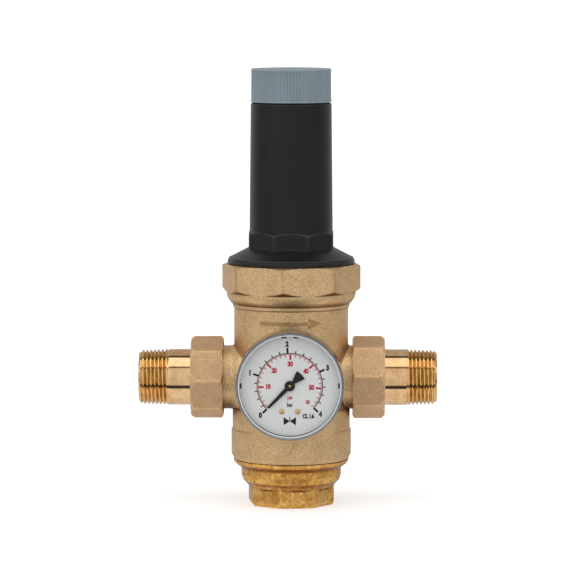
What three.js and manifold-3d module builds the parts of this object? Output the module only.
// Pressure reducing valve, DN 25, with union ends, filter bowl and pressure gauge.
//
// Millimetres. The origin is the middle of the filter bowl's flat underside, on the
// axis of the spring bonnet. +X is the flow direction, the gauge faces -Y, +Z is up.

import * as THREE from 'three';
import { mergeVertices } from 'three/addons/utils/BufferGeometryUtils.js';
import Module from 'manifold-3d';

const wasm = await Module();
wasm.setup();

// ---------------------------------------------------------------- driving dimensions

const GAP = 0.3;             // air between neighbouring pieces
const ROUND = 36;            // facets round a large turned piece
const MEDIUM = 24;           // facets round an inner piece
const SMALL = 16;            // facets round a small turned piece
const TINY = 8;              // facets round a pin

const PIPE_Z = 76.2;         // height of the pipe axis
const SPAN = 178;            // from one tailpiece's end face to the other's
const SPAN_MID_X = -1.9;     // the body sits a little towards the outlet

// Housing
const BODY_BOTTOM_Z = 26.8;
const RING_BOTTOM_Z = 29.9;  // lower ring, over its chamfer
const RING_TOP_Z = 45.3;
const LOWER_TOP_Z = 58.5;    // where the lower body meets the necks
const SHOULDER_Z = 118.6;    // small lip under the shoulder
const OCTAGON_Z = 127.4;
const BODY_TOP_Z = 144.5;
const UPPER_R = 34.1;
const LOWER_R = 35.1;
const RING_R = 35.8;
const HOUSING_OCTAGON_R = 41.8;
const HOUSING_TURN = -6.2;   // degrees from the front to the octagon's nearest corner
const NECK_R = 19;
const UNION_THREAD_R = 20.95; // G 1 1/4
const PORT_R = 13;
const BOSS_R = 11;
const BOSS_REACH = 38.5;     // gauge and plug bosses, from the axis
const TAPPING_R = 6.9;       // G 1/4 port
const BORE_R = 28.8;         // lower and upper chambers
const PARTITION_R = 21;      // ring that holds the cartridge
const CARTRIDGE_BORE_R = 17;
const LEDGE_Z = 109.7;       // the cartridge hangs on this ledge
const CLAMP_Z = 133.5;       // the diaphragm's rim lies here
const CLAMP_R = 34.4;

// Filter bowl and sieve
const BOWL_TOP_Z = 26.4;
const BOWL_NECK_TOP_Z = 38;
const KEY_TOP_Z = 10.1;
const KEY_R = 26.6;
const KEY_TURN = -13;
const SIEVE_R = 20.4;
const SIEVE_BOTTOM_Z = 8;
const SIEVE_TOP_Z = 60;

// Cartridge, stem and diaphragm. The valve is drawn open, with no pressure in it.
const CARTRIDGE_R = 16.6;
const SEAT_Z = 82;
const SEAT_R = 11;
const STEM_R = 5;
const STEM_THREAD_R = 3.5;
const SEAL_TOP_Z = 78.4;     // STEM_STROKE and GAP below the seat
const DIAPHRAGM_Z = 127;     // underside of the diaphragm's middle
const SPRING_SEAT_Z = 129.5;

// Spring bonnet, spring, spindle and knob
const BONNET_BASE_Z = 144.9;
const BONNET_RIM_R = 38;
const BONNET_KEY_Z = 154.5;
const BONNET_KEY_TOP_Z = 164;
const BONNET_KEY_R = 27.3;
const BONNET_TOP_Z = 240.4;
const BONNET_BORE_R = 20.6;
const SPRING_WIRE_R = 2.2;
const SPRING_R = 15.5;
const SPRING_TURNS = 8;
const SPRING_NUT_Z = 218;    // drawn slack, at the top of its travel
const SPINDLE_R = 5;
const KNOB_BOTTOM_Z = 240.9;
const KNOB_TOP_Z = 260.8;
const KNOB_R = 24.1;
const KNOB_RIBS = 80;

// Unions, measured outwards from the middle of the span
const NECK_END = 51;
const NUT_START = 38.6;
const NUT_END = 57.9;
const NUT_R = 24.9;          // octagon, 46 across flats
const TAIL_R = 16.7;
const TAIL_BORE_R = 13;
const TAIL_THREAD_START = 71;
const PIPE_PITCH = 2.309;    // R 1
const PIPE_THREAD_DEPTH = 1.48;
const NUT_TURNS = { inlet: 0, outlet: -6.5 };

// Gauge, measured forwards from the bonnet axis
const GAUGE_Z = PIPE_Z + 1.9;
const GAUGE_R = 31.5;
const CASE_BACK = 42;
const CASE_FRONT = 66;
const DIAL_FRONT = 60.8;
const ZERO_ANGLE = 135.4;    // degrees anticlockwise from the top to 0 bar
const PINION_TEETH = 12;
const SECTOR_TEETH = 99;     // of a full circle
const PINION_R = 1.9;
const SECTOR_DROP = 15;      // from the pointer's axis down to the sector's
const SECTOR_SWING = 32.6;   // degrees the sector turns for the whole scale
const LINK_ARM = 6;          // from the sector's axis to the pin of the link
const LINK_ARM_TURN = 16.3;  // degrees from straight up
const DIAL_SCREW_X = 4.6;
const DIAL_SCREW_DROP = 14.9;
const TUBE_R = 22;
const TUBE_START = -74;      // degrees from +X; the tube is a C that runs anticlockwise
const TUBE_END = 216;
const TUBE_TIP = 222;

// ---------------------------------------------------------------- shape helpers

const radians = THREE.MathUtils.degToRad;

function toSolid(geometry) {
  const bare = geometry.clone();
  bare.deleteAttribute('normal');
  bare.deleteAttribute('uv');
  const merged = mergeVertices(bare, 1e-4);
  return new wasm.Manifold(new wasm.Mesh({
    numProp: 3,
    vertProperties: new Float32Array(merged.attributes.position.array),
    triVerts: new Uint32Array(merged.index.array),
  }));
}

function toGeometry(solid) {
  const mesh = solid.getMesh();
  const geometry = new THREE.BufferGeometry();
  geometry.setAttribute('position', new THREE.BufferAttribute(mesh.vertProperties, 3));
  geometry.setIndex(new THREE.BufferAttribute(mesh.triVerts, 1));
  geometry.computeVertexNormals();
  return geometry;
}

// A solid turned about Z. The outline is [radius, height] pairs, up the outside.
function turned(outline, facets = ROUND) {
  const points = outline.map(([radius, height]) => new THREE.Vector2(radius, height));
  if (outline[0][0] > 0) points.push(points[0].clone());
  return new THREE.LatheGeometry(points, facets).rotateX(Math.PI / 2);
}

function ring(inner, outer, bottom, top, facets = ROUND) {
  return turned([[inner, bottom], [outer, bottom], [outer, top], [inner, top]], facets);
}

function disc(radius, bottom, top, facets = ROUND) {
  return turned([[0, bottom], [radius, bottom], [radius, top], [0, top]], facets);
}

// A regular prism about Z with one corner at the given angle from +X.
function prism(sides, radius, bottom, top, corner = 0) {
  return new THREE.CylinderGeometry(radius, radius, top - bottom, sides)
    .rotateX(Math.PI / 2)
    .rotateZ(radians(corner - 90))
    .translate(0, 0, (bottom + top) / 2);
}

function block(width, depth, height, x, y, z) {
  return new THREE.BoxGeometry(width, depth, height).translate(x, y, z);
}

function extruded(shape, bottom, top, curveSegments = 8) {
  return new THREE.ExtrudeGeometry(shape, {
    depth: top - bottom, bevelEnabled: false, curveSegments,
  }).translate(0, 0, bottom);
}

// A nut's octagon or hexagon whose ends are turned down, which leaves arcs on its flats.
function wrenchBody(sides, radius, bottom, top, corner, bottomCut, topCut) {
  const apothem = radius * Math.cos(Math.PI / sides);
  const envelope = turned([
    [0, bottom], [apothem, bottom], [radius, bottom + bottomCut],
    [radius, top - topCut], [apothem, top], [0, top],
  ]);
  return toSolid(prism(sides, radius, bottom, top, corner)).intersect(toSolid(envelope));
}

function drilledPrism(sides, radius, bore, bottom, top) {
  const hole = toSolid(disc(bore, bottom - 1, top + 1, SMALL));
  return toGeometry(toSolid(prism(sides, radius, bottom, top)).subtract(hole));
}

function oRing(middle, wire, height, facets = MEDIUM) {
  return new THREE.TorusGeometry(middle, wire, 6, facets).translate(0, 0, height);
}

function arcPoints(centreR, centreZ, radius, from, to, steps = 4) {
  return Array.from({ length: steps + 1 }, (_, i) => {
    const angle = radians(from + (to - from) * i / steps);
    return [centreR + radius * Math.cos(angle), centreZ + radius * Math.sin(angle)];
  });
}

// Part of a flat ring, from one angle to another.
function ringSector(inner, outer, from, to, bottom, top) {
  const shape = new THREE.Shape();
  shape.absarc(0, 0, outer, radians(from), radians(to), false);
  shape.absarc(0, 0, inner, radians(to), radians(from), true);
  return extruded(shape, bottom, top, 10);
}

// ---------------------------------------------------------------- materials

function finish(color, roughness, metalness) {
  return new THREE.MeshStandardMaterial({ color, roughness, metalness });
}

const castBrass = finish(0xc4a070, 0.55, 0.9);
const blastedBrass = finish(0xc0a078, 0.6, 0.9);
const bowlBrass = finish(0xcc9648, 0.5, 0.9);
const polishedBrass = finish(0xd8aa50, 0.15, 1);
const blackPlastic = finish(0x2c2a2a, 0.5, 0);
const greyPlastic = finish(0x7d8a94, 0.5, 0);
const insertPlastic = finish(0xd8d4c4, 0.5, 0);
const rubber = finish(0x1c1c1c, 0.8, 0);
const springSteel = finish(0x8c9094, 0.35, 1);
const stainless = finish(0xb4b8bc, 0.3, 1);
const chrome = finish(0xd4d8dc, 0.08, 1);
const dialPaint = finish(0xcfd2cf, 0.6, 0);
const pointerPaint = finish(0x101010, 0.5, 0);
const clearPlastic = finish(0xe8f0f4, 0.05, 0);

// ---------------------------------------------------------------- housing

function housingOutline() {
  return [
    [0, BODY_BOTTOM_Z], [33.4, BODY_BOTTOM_Z], [RING_R, RING_BOTTOM_Z], [RING_R, RING_TOP_Z],
    [LOWER_R, RING_TOP_Z + 0.7], [LOWER_R, LOWER_TOP_Z], [UPPER_R, LOWER_TOP_Z + 1],
    [UPPER_R, SHOULDER_Z - 0.5], [34.7, SHOULDER_Z],
    ...arcPoints(30.3, 127.6, 8.3, -58, 0, 4), [38.6, BODY_TOP_Z], [0, BODY_TOP_Z],
  ];
}

function neck(direction) {
  const thread = NECK_END - SPAN_MID_X * -direction;
  const outline = [
    [0, 20], [NECK_R, 20], [NECK_R, thread - 12], [UNION_THREAD_R, thread - 10],
    [UNION_THREAD_R, thread - 1.5], [UNION_THREAD_R - 1.5, thread], [0, thread],
  ];
  return toSolid(turned(outline, MEDIUM).rotateY(direction * Math.PI / 2).translate(0, 0, PIPE_Z));
}

// Raised arrow for the flow direction, cast on the front above the gauge.
function flowArrow() {
  const half = 19;
  const head = 7;
  const shape = new THREE.Shape([
    new THREE.Vector2(-half, -1), new THREE.Vector2(half - head, -1),
    new THREE.Vector2(half - head, -3), new THREE.Vector2(half, 0),
    new THREE.Vector2(half - head, 3), new THREE.Vector2(half - head, 1),
    new THREE.Vector2(-half, 1),
  ]);
  const bar = extruded(shape, 20, 40).rotateX(Math.PI / 2).translate(0, 0, 111.5);
  return toSolid(bar).intersect(toSolid(ring(33, UPPER_R + 0.6, 105, 117)));
}

function housingChambers() {
  const lower = disc(BORE_R, BODY_BOTTOM_Z - 1, 60);
  const upper = turned([
    [0, 94], [26.5, 94], [26.5, LEDGE_Z], [29, LEDGE_Z],
    [29, CLAMP_Z], [CLAMP_R, CLAMP_Z], [CLAMP_R, BODY_TOP_Z + 1], [0, BODY_TOP_Z + 1],
  ]);
  const inletPocket = ringSector(PARTITION_R, BORE_R, 125, 235, 58, 90);
  const outletPocket = ringSector(PARTITION_R, 26.5, -100, 100, 64, 96);
  const cartridgeBore = disc(CARTRIDGE_BORE_R, 58, 96);
  const inlet = disc(PORT_R, 24, 60, SMALL).rotateY(-Math.PI / 2).translate(0, 0, PIPE_Z);
  const outlet = disc(PORT_R, 24, 60, SMALL).rotateY(Math.PI / 2).translate(0, 0, PIPE_Z);
  const tapping = disc(TAPPING_R, 24, BOSS_REACH + 1, SMALL);
  const front = tapping.clone().rotateX(Math.PI / 2).translate(0, 0, GAUGE_Z);
  const rear = tapping.clone().rotateX(-Math.PI / 2).translate(0, 0, GAUGE_Z);
  return [lower, upper, inletPocket, outletPocket, cartridgeBore, inlet, outlet, front, rear];
}

function housing() {
  const boss = disc(BOSS_R, 25, BOSS_REACH, SMALL);
  const octagon = wrenchBody(
    8, HOUSING_OCTAGON_R, OCTAGON_Z, BODY_TOP_Z, -90 + HOUSING_TURN, 3.4, 1,
  );
  const outside = toSolid(turned(housingOutline()))
    .add(octagon)
    .add(neck(-1))
    .add(neck(1))
    .add(toSolid(boss.clone().rotateX(Math.PI / 2).translate(0, 0, GAUGE_Z)))
    .add(toSolid(boss.clone().rotateX(-Math.PI / 2).translate(0, 0, GAUGE_Z)))
    .add(flowArrow());
  const hollow = housingChambers().map(toSolid).reduce((sum, next) => sum.add(next));
  return toGeometry(outside.subtract(hollow));
}

// ---------------------------------------------------------------- filter bowl and sieve

function filterBowl() {
  const key = wrenchBody(8, KEY_R, 0, KEY_TOP_Z + 3, -90 + KEY_TURN, 2.2, 0.1);
  const outside = turned([
    [0, 5], [23.5, 5], [25, KEY_TOP_Z], ...arcPoints(24.3, 17.6, 5.6, -62, 0, 4), [29.9, 21.4],
    [30.6, 22], [33.6, 24.4], [34.7, BOWL_TOP_Z], [28.4, BOWL_TOP_Z],
    [28.4, BOWL_NECK_TOP_Z - 1], [27.4, BOWL_NECK_TOP_Z], [0, BOWL_NECK_TOP_Z],
  ]);
  const inside = turned([
    [0, 6], [20.8, 6], [21.5, 12], [24.8, 17], [24.8, BOWL_NECK_TOP_Z + 1],
    [0, BOWL_NECK_TOP_Z + 1],
  ]);
  const groove = ring(26.4, 30, 27.2, 30.4);
  return toGeometry(key.add(toSolid(outside)).subtract(toSolid(inside)).subtract(toSolid(groove)));
}

function bowlORing() {
  return oRing(27.65, 0.95, 28.8);
}

function sieveFrame() {
  const bottom = toSolid(ring(18.4, SIEVE_R, SIEVE_BOTTOM_Z, SIEVE_BOTTOM_Z + 3, MEDIUM));
  const top = toSolid(ring(18.4, SIEVE_R, SIEVE_TOP_Z - 3, SIEVE_TOP_Z, MEDIUM));
  const height = SIEVE_TOP_Z - SIEVE_BOTTOM_Z - 2;
  const middle = (SIEVE_TOP_Z + SIEVE_BOTTOM_Z) / 2;
  const posts = [45, 135, 225, 315].map((angle) => toSolid(
    block(0.8, 1.6, height, SIEVE_R - 0.5, 0, middle).rotateZ(radians(angle)),
  ));
  return toGeometry(posts.reduce((sum, post) => sum.add(post), bottom.add(top)));
}

function filterSieve() {
  return ring(18.6, 19.3, SIEVE_BOTTOM_Z + 3 + GAP, SIEVE_TOP_Z - 3 - GAP, MEDIUM);
}

// ---------------------------------------------------------------- cartridge and stem

function valveCartridge() {
  const sleeve = turned([
    [14.2, 62], [CARTRIDGE_R, 62], [CARTRIDGE_R, 65], [15.5, 65], [15.5, 68], [CARTRIDGE_R, 68],
    [CARTRIDGE_R, 89], [15.5, 89], [15.5, 92], [CARTRIDGE_R, 92], [CARTRIDGE_R, 110],
    [28.6, 110], [28.6, 114], [9, 114], [9, 121], [7.2, 121], [7.2, 117.5], [STEM_R + GAP, 117.5],
    [STEM_R + GAP, 110], [13, 110], [13, SEAT_Z + 2.5], [SEAT_R, SEAT_Z + 1],
    [SEAT_R, SEAT_Z], [SEAT_R + 1.2, SEAT_Z], [14.2, SEAT_Z + 1],
  ], MEDIUM);
  const windowX = toSolid(block(60, 15, 12, 0, 0, 103));
  const windowY = toSolid(block(15, 60, 12, 0, 0, 103));
  const sensing = [0, 90, 180, 270].map((angle) => toSolid(
    disc(2, 108, 116, TINY).translate(21, 0, 0).rotateZ(radians(angle)),
  ));
  const cuts = [windowX, windowY, ...sensing];
  return toGeometry(cuts.reduce((rest, cut) => rest.subtract(cut), toSolid(sleeve)));
}

function valveStem() {
  return turned([
    [0, 64.5], [STEM_THREAD_R, 64.5], [STEM_THREAD_R, SEAL_TOP_Z + GAP], [STEM_R, SEAL_TOP_Z + GAP],
    [STEM_R, DIAPHRAGM_Z - 2.6], [STEM_THREAD_R, DIAPHRAGM_Z - 2.6], [STEM_THREAD_R, 141], [0, 141],
  ], SMALL);
}

function diaphragm() {
  return turned([
    [STEM_THREAD_R + GAP, DIAPHRAGM_Z], [18.5, DIAPHRAGM_Z], [25.5, CLAMP_Z + GAP],
    [33.8, CLAMP_Z + GAP], [33.8, CLAMP_Z + 2.8], [24.8, CLAMP_Z + 2.8],
    [17.8, DIAPHRAGM_Z + 2.2], [STEM_THREAD_R + GAP, DIAPHRAGM_Z + 2.2],
  ]);
}

function springSeat() {
  const plate = SPRING_SEAT_Z + 2.4;
  return turned([
    [STEM_THREAD_R + GAP, SPRING_SEAT_Z], [16.5, SPRING_SEAT_Z], [18.5, SPRING_SEAT_Z + 1.4],
    [18.8, SPRING_SEAT_Z + 3.6], [18.2, SPRING_SEAT_Z + 3.6], [17.9, plate], [12.4, plate],
    [12, plate + 2], [STEM_THREAD_R + GAP, plate + 2],
  ], MEDIUM);
}

// ---------------------------------------------------------------- bonnet, spring and knob

function springBonnet() {
  const outside = toSolid(turned([
    [0, CLAMP_Z + 4.9], [34, CLAMP_Z + 4.9], [34, BONNET_BASE_Z], [BONNET_RIM_R, BONNET_BASE_Z],
    [BONNET_RIM_R, 146.4], [37.4, 148.1], [36, 149.3], [28.5, 152.6], [25, BONNET_KEY_Z + 0.6],
    [24.7, BONNET_KEY_TOP_Z], [24.1, BONNET_TOP_Z - 0.6], [23.6, BONNET_TOP_Z], [0, BONNET_TOP_Z],
  ]));
  const key = wrenchBody(8, BONNET_KEY_R, 150, BONNET_KEY_TOP_Z, -90 + 22.5, 0.1, 1.8);
  const bore = toSolid(turned([
    [0, CLAMP_Z], [29, CLAMP_Z], [29, 145.5], [BONNET_BORE_R, 152], [BONNET_BORE_R, BONNET_TOP_Z - 3],
    [SPINDLE_R + GAP, BONNET_TOP_Z - 3], [SPINDLE_R + GAP, BONNET_TOP_Z + 1], [0, BONNET_TOP_Z + 1],
  ]));
  const keyway = toSolid(block(2 * 22.2, 4.8, 80, 0, 0, 190));
  return toGeometry(outside.add(key).subtract(bore).subtract(keyway));
}

// A helix of round wire whose first and last turns lie nearly flat.
class SpringPath extends THREE.Curve {
  constructor(radius, bottom, top, turns) {
    super();
    Object.assign(this, { radius, bottom, top, turns });
  }

  getPoint(t, target = new THREE.Vector3()) {
    const angle = 2 * Math.PI * this.turns * t;
    const rise = THREE.MathUtils.smoothstep(t, 0, 1) * 0.25 + t * 0.75;
    const height = THREE.MathUtils.lerp(this.bottom, this.top, rise);
    return target.set(this.radius * Math.cos(angle), this.radius * Math.sin(angle), height);
  }
}

function adjustingSpring() {
  const bottom = SPRING_SEAT_Z + 2.4 + GAP + SPRING_WIRE_R;
  const top = SPRING_NUT_Z - GAP - SPRING_WIRE_R;
  const section = new THREE.Shape();
  section.absarc(0, 0, SPRING_WIRE_R, 0, 2 * Math.PI);
  return new THREE.ExtrudeGeometry(section, {
    steps: SPRING_TURNS * 12, curveSegments: 3, bevelEnabled: false,
    extrudePath: new SpringPath(SPRING_R, bottom, top, SPRING_TURNS),
  });
}

function springNut() {
  const plate = toSolid(turned([
    [SPINDLE_R + GAP, SPRING_NUT_Z - 4], [11.5, SPRING_NUT_Z - 4], [12.5, SPRING_NUT_Z],
    [20.2, SPRING_NUT_Z], [20.2, SPRING_NUT_Z + 4], [10, SPRING_NUT_Z + 4],
    [9.5, SPRING_NUT_Z + 8], [SPINDLE_R + GAP, SPRING_NUT_Z + 8],
  ], MEDIUM));
  const lug = toSolid(block(2 * 21.8, 4, 3.6, 0, 0, SPRING_NUT_Z + 2));
  const bore = toSolid(disc(SPINDLE_R + GAP, SPRING_NUT_Z - 6, SPRING_NUT_Z + 10, SMALL));
  return toGeometry(plate.add(lug).subtract(bore));
}

function adjustingSpindle() {
  return turned([
    [0, 198], [3.8, 198], [SPINDLE_R, 199.2], [SPINDLE_R, 232.6], [9, 232.6], [9, 234.9],
    [SPINDLE_R, 234.9], [SPINDLE_R, 254.7], [2.9, 254.7], [2.9, 246], [0, 246],
  ], SMALL);
}

function adjustmentKnob() {
  const shape = new THREE.Shape(Array.from({ length: 2 * KNOB_RIBS }, (_, i) => {
    const radius = i % 2 === 0 ? KNOB_R - 0.1 : KNOB_R - 0.6;
    const angle = Math.PI * i / KNOB_RIBS;
    return new THREE.Vector2(radius * Math.cos(angle), radius * Math.sin(angle));
  }));
  const ribbed = toSolid(extruded(shape, KNOB_BOTTOM_Z + 1.2, KNOB_TOP_Z - 1.2));
  const core = toSolid(turned([
    [0, KNOB_BOTTOM_Z], [KNOB_R, KNOB_BOTTOM_Z], [KNOB_R, KNOB_BOTTOM_Z + 1.3],
    [22, KNOB_BOTTOM_Z + 1.3], [22, KNOB_TOP_Z - 1.3], [KNOB_R - 0.3, KNOB_TOP_Z - 1.3],
    [KNOB_R - 0.9, KNOB_TOP_Z], [0, KNOB_TOP_Z],
  ]));
  const cup = toSolid(turned([
    [SPINDLE_R + 3, KNOB_BOTTOM_Z - 1], [21.4, KNOB_BOTTOM_Z - 1], [21.4, 257], [SPINDLE_R + 3, 257],
  ]));
  const bore = toSolid(turned([
    [0, KNOB_BOTTOM_Z - 1], [SPINDLE_R + GAP, KNOB_BOTTOM_Z - 1], [SPINDLE_R + GAP, 255],
    [2.9, 255], [2.9, 257.6], [7, 257.6], [7, KNOB_TOP_Z + 1], [0, KNOB_TOP_Z + 1],
  ], SMALL));
  return toGeometry(ribbed.add(core).subtract(cup).subtract(bore));
}

function knobScrew() {
  const head = toSolid(turned([
    [0, 247], [2.5, 247], [2.5, 257.9], [5.6, 257.9], [5.6, 259.4], [5, 260], [0, 260],
  ], SMALL));
  return toGeometry(head.subtract(toSolid(block(14, 1.2, 2, 0, 0, 260))));
}

// ---------------------------------------------------------------- unions

// Every union piece is drawn along +Z, with its zero at the middle of the span.
function unionNut(corner) {
  const outside = wrenchBody(8, NUT_R, NUT_START, NUT_END, corner, 1.1, 3);
  const bore = toSolid(turned([
    [0, NUT_START - 1], [UNION_THREAD_R + GAP, NUT_START - 1], [UNION_THREAD_R + GAP, 55.2],
    [TAIL_R + GAP, 55.2], [TAIL_R + GAP, NUT_END + 1], [0, NUT_END + 1],
  ]));
  return toGeometry(outside.subtract(bore));
}

function tailpieceOutline() {
  const end = SPAN / 2;
  const thread = [];
  const crests = 7;
  for (let turn = 0; turn < crests; turn += 1) {
    const at = TAIL_THREAD_START + (turn + 0.6) * PIPE_PITCH;
    const crest = TAIL_R - (at - TAIL_THREAD_START) / 32;
    thread.push([crest - PIPE_THREAD_DEPTH, at], [crest, at + PIPE_PITCH / 2]);
  }
  return [
    [TAIL_BORE_R, 52.9], [20.4, 52.9], [20.4, 54.9], [TAIL_R, 54.9], [TAIL_R, TAIL_THREAD_START],
    ...thread, [14.9, end - 0.8], [14.6, end], [TAIL_BORE_R, end],
  ];
}

function tailpiece() {
  return turned(tailpieceOutline(), MEDIUM);
}

function unionGasket() {
  return ring(14, 20, NECK_END + GAP, 52.6, MEDIUM);
}

// ---------------------------------------------------------------- gauge

// Every gauge piece is drawn along +Z towards the reader, with x to the right and y up.
function gaugeCase() {
  return turned([
    [7.4, CASE_BACK], [GAUGE_R - 2.2, CASE_BACK], [GAUGE_R - 0.6, CASE_BACK + 0.7],
    [GAUGE_R, CASE_BACK + 2.2], [GAUGE_R, CASE_FRONT - 0.4], [GAUGE_R - 0.4, CASE_FRONT],
    [GAUGE_R - 0.8, CASE_FRONT - 0.2], [GAUGE_R - 1, CASE_FRONT - 2.4],
    [GAUGE_R - 1, CASE_BACK + 1.3], [7.4, CASE_BACK + 1.2],
  ]);
}

function gaugeWindow() {
  return turned([
    [0, 63.9], [30.1, 63.9], [30.1, 65], [29, 65.5], [14, 65.9], [0, 66],
  ]);
}

function dialPlate() {
  const plate = toSolid(disc(29.4, DIAL_FRONT - 0.8, DIAL_FRONT));
  const shaftHole = toSolid(disc(1.5, 59, 62, TINY));
  const screwHoles = [-DIAL_SCREW_X, DIAL_SCREW_X].map(
    (x) => toSolid(disc(1.1, 59, 62, TINY).translate(x, -DIAL_SCREW_DROP, 0)),
  );
  return toGeometry(screwHoles.reduce((rest, hole) => rest.subtract(hole), plate.subtract(shaftHole)));
}

function dialScrew(x) {
  return turned([
    [0, 57.3], [0.8, 57.3], [0.8, DIAL_FRONT + GAP], [1.7, DIAL_FRONT + GAP],
    [1.4, DIAL_FRONT + 0.8], [0, DIAL_FRONT + 0.9],
  ], TINY).translate(x, -DIAL_SCREW_DROP, 0);
}

// The pointer drawn upwards; it is then turned to the zero of the scale.
function pointer() {
  const shape = new THREE.Shape();
  shape.moveTo(-0.45, 18);
  shape.lineTo(-1, 0);
  shape.lineTo(-2.8, -9);
  shape.quadraticCurveTo(0, -10.6, 2.8, -9);
  shape.lineTo(1, 0);
  shape.lineTo(0.45, 18);
  const blade = toSolid(extruded(shape, 61.7, 62.2, 4));
  const hub = toSolid(disc(3, 61.6, 62.6, SMALL));
  const hole = toSolid(disc(0.9, 61, 63, TINY));
  return toGeometry(blade.add(hub).subtract(hole)).rotateZ(radians(ZERO_ANGLE));
}

function pointerShaft() {
  return turned([
    [0, 48.3], [1, 48.3], [1, 61.3], [0.6, 61.3], [0.6, 62.9], [0, 62.9],
  ], TINY);
}

function toothedShape(teeth, tip, root, count = teeth) {
  const shape = new THREE.Shape();
  const step = 2 * Math.PI / teeth;
  for (let tooth = 0; tooth < count; tooth += 1) {
    const corners = [[root, 0], [tip, 0.2], [tip, 0.5], [root, 0.7]];
    corners.forEach(([radius, share], i) => {
      const angle = (tooth + share) * step;
      const draw = tooth + i === 0 ? 'moveTo' : 'lineTo';
      shape[draw](radius * Math.cos(angle), radius * Math.sin(angle));
    });
  }
  return shape;
}

function pinion() {
  const wheel = toSolid(extruded(toothedShape(PINION_TEETH, PINION_R, PINION_R - 0.4), 50.3, 53.7));
  return toGeometry(wheel.subtract(toSolid(disc(1.3, 50, 54, TINY))));
}

// The toothed fan above the sector's pivot. At rest its left end faces the pinion.
function sectorGear() {
  const tip = SECTOR_DROP - PINION_R - 0.2;
  const count = Math.ceil((SECTOR_SWING + 8) / 360 * SECTOR_TEETH);
  const shape = toothedShape(SECTOR_TEETH, tip, tip - 0.5, count);
  shape.lineTo(0, 2);
  shape.lineTo(-2, 0);
  shape.lineTo(0, -2);
  const fan = toSolid(extruded(shape, 51.2, 52.8).rotateZ(radians(94 - SECTOR_SWING - 8)));
  const boss = toSolid(disc(3, 51.2, 52.8, SMALL));
  const pin = linkPinPlace();
  const shaftHole = toSolid(disc(1.3, 50, 54, TINY).translate(0, -SECTOR_DROP, 0));
  const pinHole = toSolid(disc(0.9, 50, 54, TINY).translate(pin.x, pin.y, 0));
  const solid = fan.add(boss).translate([0, -SECTOR_DROP, 0]);
  return toGeometry(solid.subtract(shaftHole).subtract(pinHole));
}

function linkPinPlace() {
  const turn = radians(LINK_ARM_TURN);
  return new THREE.Vector2(LINK_ARM * Math.sin(turn), LINK_ARM * Math.cos(turn) - SECTOR_DROP);
}

function tubeTipPlace() {
  const angle = radians(TUBE_TIP);
  return new THREE.Vector2(TUBE_R * Math.cos(angle), TUBE_R * Math.sin(angle));
}

// A flat bar from the sector's pin to the tube's tip, with the pin riveted into it.
function gaugeLink() {
  const from = linkPinPlace();
  const to = tubeTipPlace();
  const along = to.clone().sub(from);
  const length = along.length();
  const bar = toSolid(block(length, 1.6, 0.8, length / 2, 0, 53.5));
  const ends = [0, length].map((x) => toSolid(disc(1.4, 53.1, 53.9, TINY).translate(x, 0, 0)));
  const pin = toSolid(disc(0.6, 51, 53.5, TINY));
  const solid = [...ends, pin].reduce((sum, end) => sum.add(end), bar);
  return toGeometry(solid).rotateZ(along.angle()).translate(from.x, from.y, 0);
}

function sectorShaft() {
  return disc(1, 48.3, 55.7, TINY).translate(0, -SECTOR_DROP, 0);
}

function movementPlate(bottom) {
  const plate = toSolid(block(16, 23, 1, 0, -6.5, bottom + 0.5));
  return toGeometry(plate.subtract(toSolid(disc(1.3, bottom - 1, bottom + 2, TINY))));
}

function movementPost(x) {
  return disc(1.5, 48.3, 55.7, TINY).translate(x, 3, 0);
}

// Flattened tube bent in a C, from the socket's arm round to the tip.
function bourdonTube() {
  const path = new THREE.CatmullRomCurve3(Array.from({ length: 13 }, (_, i) => {
    const angle = radians(THREE.MathUtils.lerp(TUBE_START, TUBE_END, i / 12));
    return new THREE.Vector3(TUBE_R * Math.cos(angle), TUBE_R * Math.sin(angle), 49.5);
  }));
  const section = new THREE.Shape();
  section.absellipse(0, 0, 3, 1.1, 0, 2 * Math.PI);
  return new THREE.ExtrudeGeometry(section, {
    steps: 24, curveSegments: 4, bevelEnabled: false, extrudePath: path,
  });
}

function tubeTip() {
  const place = tubeTipPlace();
  return disc(1.9, 47, 52.6, TINY).translate(place.x, place.y, 0);
}

function gaugeSocket() {
  const thread = toSolid(turned([
    [0, 29], [5.6, 29], [6.5, 30.2], [6.5, 40], [0, 40],
  ], SMALL));
  const square = toSolid(block(14, 14, 2.1, 0, 0, 40.65));
  const shank = toSolid(disc(7, 40, 46.7, SMALL));
  const arm = toSolid(block(9, 25, 2.9, 0, -12.5, 45.25));
  const bore = toSolid(disc(2, 28, 44, TINY));
  return toGeometry(thread.add(square).add(shank).add(arm).subtract(bore));
}

// ---------------------------------------------------------------- rear plug

function rearPlug() {
  const body = toSolid(turned([
    [0, 30], [5.6, 30], [6.5, 31], [6.5, 39.6], [9.4, 39.6], [9.4, 42.4], [8.8, 43], [0, 43],
  ], SMALL));
  return toGeometry(body.subtract(toSolid(prism(6, 3.5, 38, 44))));
}

function portSeal() {
  return ring(6.9, 9, BOSS_REACH + GAP, 39.3, SMALL);
}

// ---------------------------------------------------------------- assembly

const valve = new THREE.Group();

function piece(parent, name, geometry, material) {
  const mesh = new THREE.Mesh(geometry, material);
  mesh.name = name;
  parent.add(mesh);
}

// A group whose local +Z points the given way, and whose origin is at (x, 0, z).
function place(x, z, turnX, turnY) {
  const group = new THREE.Group();
  group.position.set(x, 0, z);
  group.rotation.set(turnX, turnY, 0);
  valve.add(group);
  return group;
}

piece(valve, 'housing', housing(), castBrass);

piece(valve, 'filter_bowl', filterBowl(), bowlBrass);
piece(valve, 'bowl_oring', bowlORing(), rubber);
piece(valve, 'sieve_frame', sieveFrame(), insertPlastic);
piece(valve, 'filter_sieve', filterSieve(), stainless);

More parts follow.
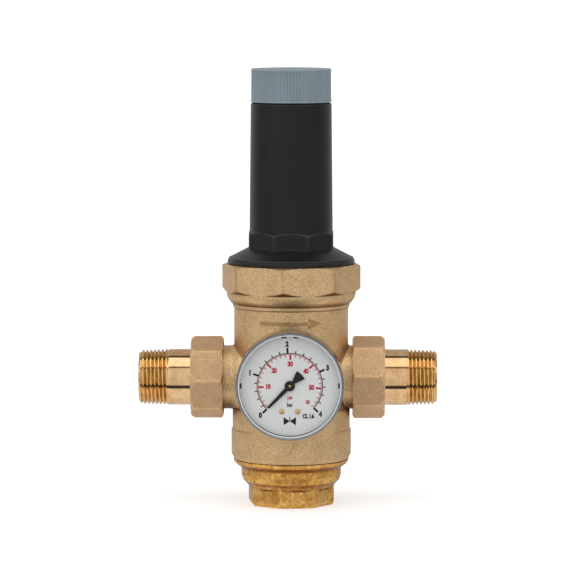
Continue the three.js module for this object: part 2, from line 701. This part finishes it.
piece(valve, 'valve_cartridge', valveCartridge(), insertPlastic);
piece(valve, 'cartridge_oring_lower', oRing(16.15, 0.6, 66.5), rubber);
piece(valve, 'cartridge_oring_upper', oRing(16.15, 0.6, 90.5), rubber);
piece(valve, 'valve_stem', valveStem(), polishedBrass);
piece(valve, 'stem_oring', oRing(6.15, 0.7, 118.9, SMALL), rubber);
piece(valve, 'disc_nut', drilledPrism(6, 6.4, STEM_THREAD_R + GAP, 65.8, 69.8), polishedBrass);
piece(valve, 'valve_disc', ring(STEM_THREAD_R + GAP, 12.6, 70.1, 76, MEDIUM), polishedBrass);
piece(valve, 'seat_seal', ring(STEM_THREAD_R + GAP, 12.6, 76.3, SEAL_TOP_Z, MEDIUM), rubber);
piece(
  valve, 'diaphragm_plate',
  ring(3.8, 17, DIAPHRAGM_Z - 2.3, DIAPHRAGM_Z - GAP, MEDIUM), polishedBrass,
);
piece(valve, 'diaphragm', diaphragm(), rubber);
piece(valve, 'spring_seat', springSeat(), stainless);
piece(valve, 'stem_nut', drilledPrism(6, 7.4, STEM_THREAD_R + GAP, 134.2, 139.6), polishedBrass);
piece(valve, 'slip_ring', ring(29.5, 33.8, CLAMP_Z + 3.1, CLAMP_Z + 4.6), insertPlastic);

piece(valve, 'spring_bonnet', springBonnet(), blackPlastic);
piece(valve, 'adjusting_spring', adjustingSpring(), springSteel);
piece(valve, 'spring_nut', springNut(), blackPlastic);
piece(valve, 'adjusting_spindle', adjustingSpindle(), polishedBrass);
piece(valve, 'thrust_washer', ring(SPINDLE_R + GAP, 12, 235.2, 237.1, SMALL), insertPlastic);
piece(valve, 'adjustment_knob', adjustmentKnob(), greyPlastic);
piece(valve, 'knob_screw', knobScrew(), stainless);

for (const [side, turn] of [['inlet', -Math.PI / 2], ['outlet', Math.PI / 2]]) {
  const group = place(SPAN_MID_X, PIPE_Z, 0, turn);
  piece(group, `${side}_union_nut`, unionNut(-90 + NUT_TURNS[side]), blastedBrass);
  piece(group, `${side}_tailpiece`, tailpiece(), polishedBrass);
  piece(group, `${side}_gasket`, unionGasket(), rubber);
}

const gauge = place(0, GAUGE_Z, Math.PI / 2, 0);
piece(gauge, 'gauge_case', gaugeCase(), chrome);
piece(gauge, 'gauge_window', gaugeWindow(), clearPlastic);
piece(gauge, 'gauge_dial', dialPlate(), dialPaint);
piece(gauge, 'dial_screw_left', dialScrew(-DIAL_SCREW_X), polishedBrass);
piece(gauge, 'dial_screw_right', dialScrew(DIAL_SCREW_X), polishedBrass);
piece(gauge, 'gauge_pointer', pointer(), pointerPaint);
piece(gauge, 'pointer_shaft', pointerShaft(), polishedBrass);
piece(gauge, 'pinion', pinion(), polishedBrass);
piece(gauge, 'sector_gear', sectorGear(), polishedBrass);
piece(gauge, 'sector_shaft', sectorShaft(), stainless);
piece(gauge, 'gauge_link', gaugeLink(), polishedBrass);
piece(gauge, 'movement_back_plate', movementPlate(47), polishedBrass);
piece(gauge, 'movement_front_plate', movementPlate(56), polishedBrass);
piece(gauge, 'movement_post_left', movementPost(-6.2), polishedBrass);
piece(gauge, 'movement_post_right', movementPost(6.2), polishedBrass);
piece(gauge, 'bourdon_tube', bourdonTube(), polishedBrass);
piece(gauge, 'tube_tip', tubeTip(), polishedBrass);
piece(gauge, 'gauge_socket', gaugeSocket(), polishedBrass);
piece(gauge, 'gauge_seal', portSeal(), rubber);

const plug = place(0, GAUGE_Z, -Math.PI / 2, 0);
piece(plug, 'rear_plug', rearPlug(), polishedBrass);
piece(plug, 'rear_plug_seal', portSeal(), rubber);

export default valve;
